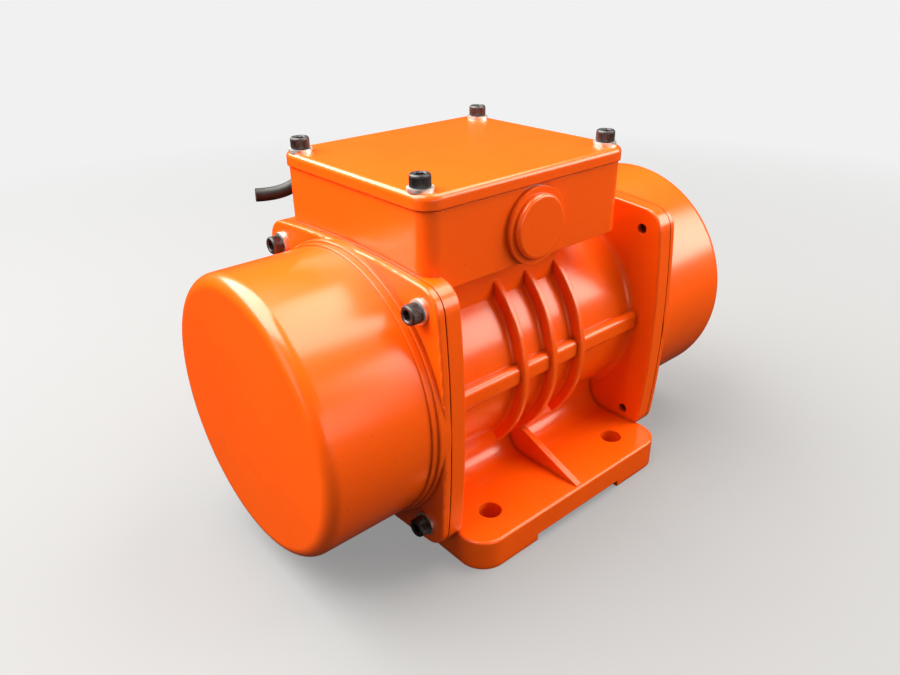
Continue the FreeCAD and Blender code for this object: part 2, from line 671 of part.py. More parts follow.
def shield_screw_places():
    return [(f"({i}) * shield_screw_circle", f"shaft_height + ({j}) * shield_screw_circle")
            for i, j in ((1, 0), (0, 1), (-1, 0), (0, -1))]


def cap_screw_places():
    step = "cap_screw_circle / sqrt(2)"
    return [(f"({i}) * {step}", f"shaft_height + ({j}) * {step}")
            for i in (-1, 1) for j in (-1, 1)]


# ---- lid -------------------------------------------------------------------------------

def lid():
    body = new_body("terminal_box_lid")
    plate = sketch_on(body, "lid_outline", "XY_Plane", "lid_bottom")
    rounded_rectangle(plate, "box_left - lid_overhang", "box_right + lid_overhang",
                      "-box_width / 2 - lid_overhang", "box_width / 2 + lid_overhang",
                      "(box_corner + lid_overhang)")
    pad(body, plate, "lid_thickness", "plate")
    fillet(body, "lid_edge", lambda e: lies(e, 2, size("lid_top")))
    recess = sketch_on(body, "recess_outline", "XY_Plane", "lid_bottom + lid_thickness / 2")
    cavity_outline(recess)
    pocket(body, recess, "lid_thickness / 2", name="recess")
    holes = sketch_on(body, "hole_outline", "XY_Plane", "lid_top")
    circles(holes, "screw_radius + screw_clearance", LID_SCREWS)
    pocket(body, holes, "lid_thickness", name="screw_holes")

    gasket = new_body("lid_gasket")
    sheet_outline = sketch_on(gasket, "gasket_outline", "XY_Plane", "box_top")
    rounded_rectangle(sheet_outline, "box_left + lid_gasket_inset", "box_right - lid_gasket_inset",
                      "-box_width / 2 + lid_gasket_inset", "box_width / 2 - lid_gasket_inset",
                      "(box_corner - lid_gasket_inset)")
    pad(gasket, sheet_outline, "lid_gasket", "sheet")
    inner = sketch_on(gasket, "window_outline", "XY_Plane", "lid_bottom")
    cavity_outline(inner)
    pocket(gasket, inner, "lid_gasket", name="window")
    holes = sketch_on(gasket, "hole_outline", "XY_Plane", "lid_bottom")
    circles(holes, "screw_radius + screw_clearance", LID_SCREWS)
    pocket(gasket, holes, "lid_gasket", name="screw_holes")

    washers = [ring("washer_radius", "screw_radius + screw_clearance", "washer_thickness",
                    (x, y, "lid_top"), UPRIGHT) for x, y in LID_SCREWS]
    keep(group(*washers), "lid_washers")
    screws = [socket_screw((x, y, "lid_top + washer_thickness"), "z",
                           length="lid_screw_length") for x, y in LID_SCREWS]
    keep(group(*screws), "lid_screws")


# ---- end covers ------------------------------------------------------------------------

def end_cover(side, name):
    """Turned drum, stepped at its foot, on a flange of the same outline as the casting's."""
    body = new_body(f"end_cover_{name}")

    def disc(radius, near_x, far_x, label):
        """Adds a disc about the shaft between two distances from the middle."""
        rim_circle = sketch_on(body, f"{label}_outline", "YZ_Plane",
                               near_x if side > 0 else f"-({far_x})")
        circles(rim_circle, radius, [SHAFT])
        pad(body, rim_circle, f"{far_x} - ({near_x})", label)

    rim = sketch_on(body, "flange_outline", "YZ_Plane",
                    "parting_x + gasket" if side > 0 else "-flange_outer")
    flange_outline(rim)
    pad(body, rim, "cover_flange", "flange")
    fillet(body, "flange_edge", lambda e: lies(e, 0, side * size("flange_outer")), "rim")
    disc("cover_radius", "parting_x + gasket", "cover_end", "drum")
    fillet(body, "cover_edge", lambda e: lies(e, 0, side * size("cover_end")))
    for radius, width in (("step_radius", "step_width"), ("collar_radius", "collar_width")):
        disc(radius, "parting_x + gasket", f"flange_outer + {width}", "step")
        face = side * size(f"flange_outer + {width}")
        fillet(body, "step_edge", lambda e: lies(e, 0, face) and round_edge(e, size(radius)))

    hollow = sketch_on(body, "hollow_outline", "YZ_Plane",
                       "cover_end - cover_wall" if side > 0 else "-(parting_x + gasket)")
    circles(hollow, "cover_radius - cover_wall", [SHAFT])
    pocket(body, hollow, "cover_end - cover_wall - parting_x - gasket", name="hollow")
    fillet(body, "cover_edge - cover_wall",
           lambda e: lies(e, 0, side * size("cover_end - cover_wall")))
    holes = sketch_on(body, "hole_outline", "YZ_Plane",
                      "flange_outer" if side > 0 else "-(parting_x + gasket)")
    circles(holes, "screw_radius + screw_clearance", BOLTS)
    pocket(body, holes, "cover_flange", name="bolt_holes")

    gasket = new_body(f"cover_gasket_{name}")
    sheet_outline = sketch_on(gasket, "gasket_outline", "YZ_Plane",
                              "parting_x" if side > 0 else "-(parting_x + gasket)")
    flange_outline(sheet_outline, "gasket_inset")
    pad(gasket, sheet_outline, "gasket", "sheet")
    window = sketch_on(gasket, "window_outline", "YZ_Plane",
                       "parting_x + gasket" if side > 0 else "-parting_x")
    circles(window, "cover_radius - cover_wall", [SHAFT])
    circles(window, "screw_radius + screw_clearance", BOLTS)
    pocket(gasket, window, "gasket", name="window")

    face = end_at(side, "flange_outer", "washer_thickness")
    washers = [ring("washer_radius", "screw_radius + screw_clearance", "washer_thickness", (face, y, z))
               for y, z in BOLTS]
    keep(group(*washers), f"cover_washers_{name}")
    seat = f"({side}) * (flange_outer + washer_thickness)"
    screws = [socket_screw((seat, y, z), "x" if side > 0 else "-x") for y, z in BOLTS]
    keep(group(*screws), f"cover_bolts_{name}")


# ---- bearings, shields and caps ----------------------------------------------------------

def bearing_end(side, name):
    along = "x" if side > 0 else "-x"

    def disc(radius, inner_x, outer_x, at=SHAFT):
        """Disc between two distances from the middle, about the shaft or another point."""
        width = f"({outer_x}) - ({inner_x})"
        return cylinder(radius, width, (end_at(side, inner_x, width), *at))

    plate = fuse(disc("stator_radius", "shield_inner", "parting_x"),
                 disc("shield_radius", "parting_x - shield_plate", "parting_x"))
    holes = [disc("small_screw + small_clearance", "parting_x - shield_plate", "parting_x", at)
             for at in shield_screw_places()]
    holes += [disc("small_screw", "cap_outer - cap_screw_length - screw_spare", "parting_x", at)
              for at in cap_screw_places()]
    shield = cut(plate, disc("bearing_radius", "bearing_inner_x", "parting_x"),
                 disc("shoulder_bore", "shield_inner", "bearing_inner_x"), *holes)
    keep(shield, f"bearing_shield_{name}")

    cap = cut(fuse(disc("cap_radius", "parting_x", "cap_outer"),
                   disc("bearing_radius - running_fit", "bearing_outer_x", "parting_x")),
              disc("cap_bore", "parting_x", "cap_outer"),
              disc("cap_ring_bore", "bearing_outer_x", "parting_x"),
              *[disc("small_screw + small_clearance", "parting_x", "cap_outer", at)
                for at in cap_screw_places()])
    keep(cap, f"bearing_cap_{name}")
    small = dict(head=("small_head", "small_head_height"), shank="small_screw", socket="small_socket")
    keep(group(*[socket_screw((f"({side}) * cap_outer", *at), along, length="cap_screw_length", **small)
                 for at in cap_screw_places()]), f"cap_screws_{name}")
    keep(group(*[socket_screw((f"({side}) * parting_x", *at), along, length="body_flange", **small)
                 for at in shield_screw_places()]), f"shield_screws_{name}")

    ends = ("bearing_inner_x", "bearing_outer_x")
    groove = doc.addObject("Part::Torus", "groove")
    bind(groove, Radius1="ball_circle", Radius2="ball_radius + race_play")
    middle = f"({side}) * (bearing_inner_x + bearing_width / 2)"
    place(groove, (middle, *SHAFT), ALONG_X)
    outer = cut(disc("bearing_radius", *ends), disc("outer_race", *ends), groove)
    keep(outer, f"bearing_outer_ring_{name}")
    inner = cut(disc("inner_race", *ends), disc("bearing_bore", *ends), groove)
    keep(inner, f"bearing_inner_ring_{name}")
    balls = []
    for i in range(round(size("ball_count"))):
        ball = doc.addObject("Part::Sphere", "ball")
        bind(ball, Radius="ball_radius")
        turn = f"360 * {i} / ball_count"
        place(ball, (middle, f"ball_circle * cos({turn})",
                     f"shaft_height + ball_circle * sin({turn})"))
        balls.append(ball)
    keep(group(*balls), f"bearing_balls_{name}")


# ---- stator and rotor ------------------------------------------------------------------

def around_shaft(body, feature):
    """Repeats a feature in every slot of the stator."""
    pattern = body.newObject("PartDesign::PolarPattern", "round_the_bore")
    pattern.Originals = [feature]
    pattern.Axis = (origin_feature(body, "X_Axis"), [""])
    pattern.Angle = 360
    bind(pattern, Occurrences="slot_count")
    body.Tip = pattern
    doc.recompute()


def stator():
    core = new_body("stator_core", "shaft_height")
    ring_outline = sketch_on(core, "core_outline", "YZ_Plane", "-stator_half")
    circles(ring_outline, "stator_radius", [("0", "0")])
    circles(ring_outline, "stator_bore", [("0", "0")])
    pad(core, ring_outline, "2 * stator_half", "laminations")
    slot = sketch_on(core, "slot_outline", "YZ_Plane", "stator_half")
    neck = "slot_inner - slot_width / 2"
    outline(slot, [("-slot_mouth / 2", "stator_bore - slot_mouth"),
                   ("slot_mouth / 2", "stator_bore - slot_mouth"),
                   ("slot_mouth / 2", neck), ("slot_width / 2", "slot_inner"),
                   ("slot_width / 2", "slot_outer"), ("-slot_width / 2", "slot_outer"),
                   ("-slot_width / 2", "slot_inner"), ("-slot_mouth / 2", neck)])
    around_shaft(core, pocket(core, slot, "2 * stator_half", "slot"))

    windings = new_body("stator_windings", "shaft_height")

    def winding_head(start):
        head = sketch_on(windings, "winding_head_outline", "YZ_Plane", start)
        circles(head, "winding_outer", [("0", "0")])
        circles(head, "slot_inner", [("0", "0")])
        pad(windings, head, "winding_end - stator_half", "winding_head")

    # The bars in the slots come between the two heads, because they hold them together.
    winding_head("-winding_end")
    bar = sketch_on(windings, "slot_bar_outline", "YZ_Plane", "-stator_half - slot_mouth")
    half = "(slot_width / 2 - slot_liner)"
    rectangle(bar, f"-{half}", half, "slot_inner + slot_liner", "slot_outer - slot_liner")
    around_shaft(windings, pad(windings, bar, "2 * (stator_half + slot_mouth)", "slot_bar"))
    winding_head("stator_half")


def shaft():
    body = new_body("shaft", "shaft_height")
    profile = sketch_on(body, "shaft_profile", "XZ_Plane")
    half = [("0", "shaft_core"), ("shaft_core_half", "shaft_core"),
            ("shaft_core_half", "shaft_shoulder"), ("bearing_inner_x", "shaft_shoulder"),
            ("bearing_inner_x", "bearing_bore"), ("thread_start", "bearing_bore"),
            ("thread_start", "thread_radius"), ("shaft_end", "thread_radius"), ("shaft_end", "0")]
    left = [(f"-({x})", radius) for x, radius in half[1:]]
    outline(profile, left[::-1] + half[1:])
    revolve(body, profile, "360", "turned_shaft")
    for start, end in (("weight_start", "weight_end"), ("-(weight_end)", "-(weight_start)")):
        seat = sketch_on(body, "key_seat_outline", "XY_Plane", "bearing_bore")
        rectangle(seat, f"{start} + key_margin", f"{end} - key_margin",
                  "-key_width / 2", "key_width / 2")
        pocket(body, seat, "key_seat", name="key_seat")


def rotor():
    core = [cylinder(radius, "2 * stator_half", ("-stator_half", "0", "shaft_height"))
            for radius in ("rotor_radius", "shaft_core")]
    keep(cut(*core), "rotor_core")
    rings = [ring("cage_radius", "end_ring_bore", "end_ring", (x, "0", "shaft_height"))
             for x in ("stator_half", "-stator_half - end_ring")]
    keep(group(*rings), "rotor_cage_rings")


# ---- unbalanced weights ----------------------------------------------------------------

def weight_body(name, start):
    """Sector that hangs below a round hub, on the shaft's axis."""
    body = new_body(name, "shaft_height")
    sector = sketch_on(body, "sector_outline", "YZ_Plane", start)
    reach_y, reach_z = "weight_radius * sin(weight_angle / 2)", "-weight_radius * cos(weight_angle / 2)"
    outline(sector, [(f"-{reach_y}", reach_z, "0", "0", 1), (reach_y, reach_z), ("0", "0")])
    pad(body, sector, "weight_width", "sector")
    hub = sketch_on(body, "hub_outline", "YZ_Plane", start)
    circles(hub, "hub_radius", [("0", "0")])
    pad(body, hub, "weight_width", "hub")
    return body


def fixed_weight(side, name):
    start = "weight_start" if side > 0 else "-(weight_end)"
    body = weight_body(f"fixed_weight_{name}", start)
    bore = sketch_on(body, "bore_outline", "YZ_Plane", f"{start} + weight_width")
    circles(bore, "bearing_bore", [("0", "0")])
    pocket(body, bore, "weight_width", name="bore")
    keyway = sketch_on(body, "keyway_outline", "YZ_Plane", f"{start} + weight_width")
    rectangle(keyway, "-key_width / 2", "key_width / 2", "0", "bearing_bore - key_seat + key_height")
    pocket(body, keyway, "weight_width", name="keyway")
    key = block("weight_width - 2 * key_margin", "key_width", "key_height",
                (f"{start} + key_margin", "-key_width / 2", "shaft_height + bearing_bore - key_seat"))
    keep(key, f"shaft_key_{name}")


def adjustable_weight(side, name):
    """Weight that grips the shaft with a split clamp, so that its angle can be set."""
    start = "weight_end + weight_gap" if side > 0 else "-(weight_end + weight_gap + weight_width)"
    body = weight_body(f"adjustable_weight_{name}", start)
    lugs = sketch_on(body, "clamp_outline", "YZ_Plane", start)
    rectangle(lugs, "-clamp_half", "clamp_half", "0", "clamp_lug")
    pad(body, lugs, "weight_width", "clamp_lugs")
    bore = sketch_on(body, "bore_outline", "YZ_Plane", f"{start} + weight_width")
    circles(bore, "bearing_bore + running_fit", [("0", "0")])
    pocket(body, bore, "weight_width", name="bore")
    slit = sketch_on(body, "slit_outline", "YZ_Plane", f"{start} + weight_width")
    rectangle(slit, "-clamp_slot / 2", "clamp_slot / 2", "0", "clamp_lug")
    pocket(body, slit, "weight_width", name="slit")
    middle = f"{start} + weight_width / 2"
    hole = sketch_on(body, "screw_hole_outline", "XZ_Plane", "clamp_half")
    circles(hole, "clamp_screw", [(middle, "clamp_rise")])
    pocket(body, hole, "2 * clamp_half", name="screw_hole")
    seat = sketch_on(body, "head_seat_outline", "XZ_Plane", "hub_radius")
    circles(seat, "clamp_head + weight_gap", [(middle, "clamp_rise")])
    pocket(body, seat, "hub_radius - clamp_half", name="head_seat")

    height = "shaft_height + clamp_rise"
    head = cylinder("clamp_head", "2 * clamp_screw", (middle, "-clamp_half - 2 * clamp_screw", height),
                    ALONG_Y)
    shank = cylinder("clamp_screw", "2 * clamp_half", (middle, "-clamp_half", height), ALONG_Y)
    socket = hexagon("clamp_screw", "clamp_screw", (middle, "-clamp_half - 2 * clamp_screw", height),
                     ALONG_Y)
    keep(cut(fuse(head, shank), socket), f"clamp_screw_{name}")


def shaft_hardware(side, name):
    sleeve = "weight_start - (bearing_outer_x)"
    keep(ring("sleeve_radius", "bearing_bore", sleeve,
              (end_at(side, "bearing_outer_x", sleeve), *SHAFT)), f"spacer_sleeve_{name}")
    keep(ring("thread_radius + washer_wall", "thread_radius", "washer_plate",
              (end_at(side, "thread_start", "washer_plate"), *SHAFT)), f"lock_washer_{name}")
    nut_at = (end_at(side, "thread_start + washer_plate", "nut_height"), *SHAFT)
    keep(cut(hexagon("thread_radius + nut_wall", "nut_height", nut_at),
             cylinder("thread_radius", "nut_height", nut_at)), f"shaft_nut_{name}")


# ---- terminal block --------------------------------------------------------------------

def terminal_block():
    studs = corners("2 * stud_pitch_x", "stud_pitch_y", "block_x")
    studs += [("block_x", "-stud_pitch_y / 2"), ("block_x", "stud_pitch_y / 2")]
    back = [(x, y) for x, y in studs if size(y) > 0]
    front = [(x, y) for x, y in studs if size(y) < 0]

    body = new_body("terminal_block")
    base = sketch_on(body, "block_outline", "XY_Plane", "well_floor")
    rectangle(base, "block_x - block_length / 2", "block_x + block_length / 2",
              "-block_width / 2", "block_width / 2")
    pad(body, base, "block_height", "moulding")
    barriers = sketch_on(body, "barrier_outline", "XY_Plane", "block_top")
    for sign in (-1, 1):
        middle = f"block_x + ({sign}) * stud_pitch_x / 2"
        rectangle(barriers, f"{middle} - barrier_thickness / 2", f"{middle} + barrier_thickness / 2",
                  "-barrier_thickness", "block_width / 2")
    pad(body, barriers, "barrier_height", "barriers")
    stud_holes = sketch_on(body, "stud_hole_outline", "XY_Plane", "block_top")
    circles(stud_holes, "stud_radius", studs)
    pocket(body, stud_holes, "stud_seat", name="stud_holes")
    screw_holes = sketch_on(body, "screw_hole_outline", "XY_Plane", "block_top")
    circles(screw_holes, "stud_radius", BLOCK_SCREWS)
    pocket(body, screw_holes, "block_height", name="screw_holes")

    def upright(radius, length, x, y, bottom):
        return cylinder(radius, length, (x, y, bottom), UPRIGHT)

    seat = "block_top + link_thickness"
    keep(group(*[fuse(upright("block_screw_head", "small_nut_height", x, y, "block_top"),
                      upright("stud_radius", "block_height + earth_screw_length - link_thickness",
                              x, y, "well_floor - earth_screw_length + link_thickness"))
                 for x, y in BLOCK_SCREWS]), "block_screws")
    keep(group(*[upright("stud_radius", "stud_seat + stud_height", x, y, "block_top - stud_seat")
                 for x, y in studs]), "terminal_studs")
    keep(group(*[cut(hexagon("nut_size", "small_nut_height", (x, y, seat), UPRIGHT),
                     upright("stud_radius", "small_nut_height", x, y, seat))
                 for x, y in studs]), "terminal_nuts")
    link = block("2 * (stud_pitch_x + lug_radius)", "wire_end - stud_pitch_y / 2 + lug_radius",
                 "link_thickness", ("block_x - stud_pitch_x - lug_radius", "-wire_end", "block_top"))
    keep(cut(link, *[upright("stud_radius", "link_thickness", x, y, "block_top") for x, y in front]),
         "star_link")
    tongue = "wire_end - stud_pitch_y / 2"
    lugs = [cut(fuse(upright("lug_radius", "link_thickness", x, y, "block_top"),
                     block("2 * core_radius", tongue, "link_thickness",
                           (f"{x} - core_radius", y, "block_top"))),
                upright("stud_radius", "link_thickness", x, y, "block_top")) for x, y in back]
    lugs.append(cut(fuse(upright("lug_radius", "link_thickness", "earth_x", "earth_y", "well_floor"),
                         block(tongue, "2 * core_radius", "link_thickness",
                               ("earth_x", "earth_y - core_radius", "well_floor"))),
                    upright("stud_radius", "link_thickness", "earth_x", "earth_y", "well_floor")))
    earth_seat = "well_floor + link_thickness"
    keep(fuse(hexagon("nut_size", "small_nut_height", ("earth_x", "earth_y", earth_seat), UPRIGHT),
              upright("stud_radius", "earth_screw_length",
                      "earth_x", "earth_y", f"{earth_seat} - earth_screw_length")), "earth_screw")
    wiring(lugs, [size(x) for x, y in back])


def tube(points, radius, bend=None):
    """Round tube along straight runs joined by tangent arcs; returns it with the arcs' radii.

    Without a bend, each arc is as large as its runs allow.
    """
    points = [V3(*point) for point in points]
    edges, radii, start = [], [], points[0]
    for before, corner, after in zip(points, points[1:], points[2:]):
        into, out = (corner - before).normalize(), (after - corner).normalize()
        half_turn = into.getAngle(out) / 2
        largest = 0.45 * min((corner - before).Length, (after - corner).Length) / math.tan(half_turn)
        arc_radius = min(bend or largest, largest)
        setback = arc_radius * math.tan(half_turn)
        a, b = corner - into * setback, corner + out * setback
        inward = (out - into).normalize()
        middle = corner + inward * (arc_radius / math.cos(half_turn) - arc_radius)
        edges += [Part.LineSegment(start, a).toShape(), Part.Arc(a, middle, b).toShape()]
        radii.append(arc_radius)
        start = b
    edges.append(Part.LineSegment(start, points[-1]).toShape())
    path = Part.Wire(edges)
    section = Part.Wire(Part.Circle(points[0], points[1] - points[0], radius).toShape())
    solid = path.makePipeShell([section], True, False)
    expected = math.pi * radius ** 2 * path.Length
    if abs(solid.Volume - expected) > 0.01 * expected:
        raise RuntimeError(f"tube volume {solid.Volume:.1f}, expected {expected:.1f}")
    return solid, path.Length, radii


def loose_shape(shape):
    """Object for a shape swept along a route."""
    obj = doc.addObject("Part::Feature", "swept")
    obj.Shape = shape
    obj.Placement = FreeCAD.Placement()
    return obj


def wiring(lugs, stud_x):
    """Supply cores with their lugs, from the cable to the back studs, and the motor's leads."""
    end, gap, run = size("wire_end"), size("wire_gap"), size("core_run")
    spread, radius, bend = size("core_spread"), size("core_radius"), size("core_bend")
    x0, z0, inside = size("box_centre_x"), size("gland_height"), size("cable_inside")
    low = size("block_top") + radius + gap
    cores = []
    for x, dx, dz in zip(stud_x, (-spread, 0, spread), (0, -spread, 0)):
        route = [(x0 + dx, inside, z0 + dz), (x0 + dx, inside - run, z0 + dz),
                 (x, end + run, low), (x, end, low)]
        cores.append(tube(route, radius, bend)[0])
    earth_x, earth_y, low = size("earth_x"), size("earth_y"), size("well_floor") + radius + gap
    earth_end = earth_x + end - size("stud_pitch_y / 2")
    route = [(x0, inside, z0 + spread), (x0, inside - run, z0 + spread),
             (earth_x + 2 * run, earth_y + run, low + 2 * run),
             (earth_end + run, earth_y, low), (earth_end, earth_y, low)]
    cores.append(tube(route, radius, bend)[0])
    keep(group(*lugs, loose_shape(Part.makeCompound(cores))), "supply_cores")

    radius, pitch = size("lead_radius"), size("lead_pitch")
    foot, low = size("shaft_height + winding_outer"), size("block_top") + radius + gap
    high = low + size("lead_rise")
    leads = []
    for i, x in enumerate(sorted(stud_x)):
        start = size("passage_x") + (1 - i) * pitch
        beside = -size("block_width / 2") - (2 * i + 2) * radius - (i + 1) * gap
        route = [(start, 0, foot), (start, 0, high), (start, beside, high),
                 (x, beside, low), (x, -end, low)]
        leads.append(tube(route, radius, bend)[0])
    keep(loose_shape(Part.makeCompound(leads)), "motor_leads")


# ---- cable gland and cable --------------------------------------------------------------

def gland():
    wall = "box_width / 2"

    def round_piece(radius, start, end):
        return cylinder(radius, f"{end} - ({start})", ("box_centre_x", start, "gland_height"), ALONG_Y)

    def hex_piece(radius, start, end):
        return hexagon(radius, f"{end} - ({start})", ("box_centre_x", start, "gland_height"), ALONG_Y)

    thread_end = "gland_nut_start + gland_thread_length"
    dome_start = "gland_nut_start + gland_nut_length"
    dome_end = "gland_exit - seal_lip"
    keep(cut(fuse(hex_piece("gland_hex", wall, "gland_nut_start"),
                  round_piece("gland_hole", "locknut_start", wall),
                  round_piece("gland_thread", "gland_nut_start", thread_end)),
             round_piece("gland_bore", "locknut_start", thread_end)), "cable_gland_body")
    keep(cut(hex_piece("locknut_radius", "locknut_start", f"{wall} - box_wall"),
             round_piece("gland_hole", "locknut_start", f"{wall} - box_wall")), "cable_gland_locknut")
    dome = bind(doc.addObject("Part::Cone", "dome"), Radius1="gland_nut_radius",
                Radius2="gland_dome_radius", Height="gland_dome_length")
    place(dome, ("box_centre_x", dome_start, "gland_height"), ALONG_Y)
    keep(cut(fuse(hex_piece("gland_nut_radius", "gland_nut_start", dome_start), dome),
             round_piece("gland_thread", "gland_nut_start", thread_end),
             round_piece("gland_bore", "gland_nut_start", dome_end)), "cable_gland_nut")
    keep(cut(round_piece("gland_bore", "seal_start", "gland_exit"),
             round_piece("cable_radius", "seal_start", "gland_exit")), "cable_gland_seal")
    keep(round_piece("cable_radius", "cable_inside", "gland_exit"), "cable_entry")


def cable():
    leaves = V3(size("box_centre_x"), size("gland_exit"), size("gland_height"))
    solid, length, radii = tube([leaves + V3(*point) for point in CABLE_ROUTE], size("cable_radius"))
    print(f"cable: {length:.1f} mm, arcs", " ".join(f"{radius:.0f}" for radius in radii), "mm")
    keep(loose_shape(solid), "power_cable")


# ---- the whole motor -------------------------------------------------------------------

housing()
lid()
stator()
shaft()
rotor()
for side, name in ((-1, "left"), (1, "right")):
    end_cover(side, name)
    bearing_end(side, name)
    fixed_weight(side, name)
    adjustable_weight(side, name)
    shaft_hardware(side, name)
terminal_block()
gland()
cable()
doc.recompute()

for obj in doc.Objects:
    if {"Invalid", "Error"} & set(obj.State):
        raise RuntimeError(f"{obj.Label} ({obj.Name}): {obj.State}")
for node in NODES:
    check(node)
os.makedirs("parts", exist_ok=True)
for node in NODES:
    node.Shape.exportStep(f"parts/{node.Label}.step")
print(len(NODES), "nodes")
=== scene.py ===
import json
import math

import bmesh
import bpy
from mathutils import Matrix, Vector

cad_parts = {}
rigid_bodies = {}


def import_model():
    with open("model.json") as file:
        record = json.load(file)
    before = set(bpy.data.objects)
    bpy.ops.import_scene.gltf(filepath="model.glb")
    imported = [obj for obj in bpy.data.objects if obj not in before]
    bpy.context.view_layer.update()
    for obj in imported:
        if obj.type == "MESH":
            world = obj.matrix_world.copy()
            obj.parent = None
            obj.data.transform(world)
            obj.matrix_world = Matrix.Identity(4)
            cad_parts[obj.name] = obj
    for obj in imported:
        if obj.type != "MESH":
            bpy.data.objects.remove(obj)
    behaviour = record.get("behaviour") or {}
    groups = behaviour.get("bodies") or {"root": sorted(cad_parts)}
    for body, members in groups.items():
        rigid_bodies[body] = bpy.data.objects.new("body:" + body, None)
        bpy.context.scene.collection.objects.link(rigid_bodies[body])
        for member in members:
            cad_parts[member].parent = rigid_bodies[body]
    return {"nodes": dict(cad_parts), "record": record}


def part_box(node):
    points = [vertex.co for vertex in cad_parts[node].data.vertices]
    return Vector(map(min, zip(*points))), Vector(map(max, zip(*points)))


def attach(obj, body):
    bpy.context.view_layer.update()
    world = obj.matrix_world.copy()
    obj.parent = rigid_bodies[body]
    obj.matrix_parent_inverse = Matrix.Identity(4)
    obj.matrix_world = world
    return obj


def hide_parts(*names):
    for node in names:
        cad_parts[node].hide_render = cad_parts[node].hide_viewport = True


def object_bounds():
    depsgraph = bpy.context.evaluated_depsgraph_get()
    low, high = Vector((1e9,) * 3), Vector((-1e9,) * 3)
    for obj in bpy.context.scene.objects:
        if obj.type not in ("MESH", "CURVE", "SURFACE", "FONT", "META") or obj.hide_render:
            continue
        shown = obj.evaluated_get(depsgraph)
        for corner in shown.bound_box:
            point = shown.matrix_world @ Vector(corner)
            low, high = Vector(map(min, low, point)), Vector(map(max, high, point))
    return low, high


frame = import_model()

CAD_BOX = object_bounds()
CASING = "casing"


# ---- camera ----------------------------------------------------------------------------

CAMERA_PLACE = (-0.27665, -0.29941, 0.28966)
CAMERA_YAW, CAMERA_ELEVATION, CAMERA_ROLL = -40.667, 27.263, -0.798
LENS_MM, SENSOR_MM = 29.83, 36.0


def add_camera():
    """Camera at the photograph's place, level apart from a slight roll."""
    yaw, elevation, roll = (math.radians(a) for a in (CAMERA_YAW, CAMERA_ELEVATION, CAMERA_ROLL))
    back = Vector((math.sin(yaw) * math.cos(elevation), -math.cos(yaw) * math.cos(elevation),
                   math.sin(elevation)))
    level = (-back).cross(Vector((0, 0, 1))).normalized()
    upward = level.cross(-back)
    right = math.cos(roll) * level + math.sin(roll) * upward
    up = -math.sin(roll) * level + math.cos(roll) * upward
    data = bpy.data.cameras.new("camera")
    data.lens = LENS_MM
    data.sensor_width = SENSOR_MM
    camera = bpy.data.objects.new("camera", data)
    camera.matrix_world = Matrix.Translation(CAMERA_PLACE) @ Matrix(
        (right, up, back)).transposed().to_4x4()
    bpy.context.collection.objects.link(camera)
    bpy.context.scene.camera = camera


# ---- node trees ------------------------------------------------------------------------

NOISE_LOW, NOISE_HIGH = 0.3, 0.7        # the range that a noise texture mostly keeps to
BEVEL_SAMPLES, OPENNESS_SAMPLES = 6, 8


def mix_shader(tree, factor, first, second):
    """Mix of two shaders in the node tree of a material or a world."""
    node = tree.nodes.new("ShaderNodeMixShader")
    for socket, output in enumerate((factor, first, second)):
        tree.links.new(output, node.inputs[socket])
    return node.outputs["Shader"]


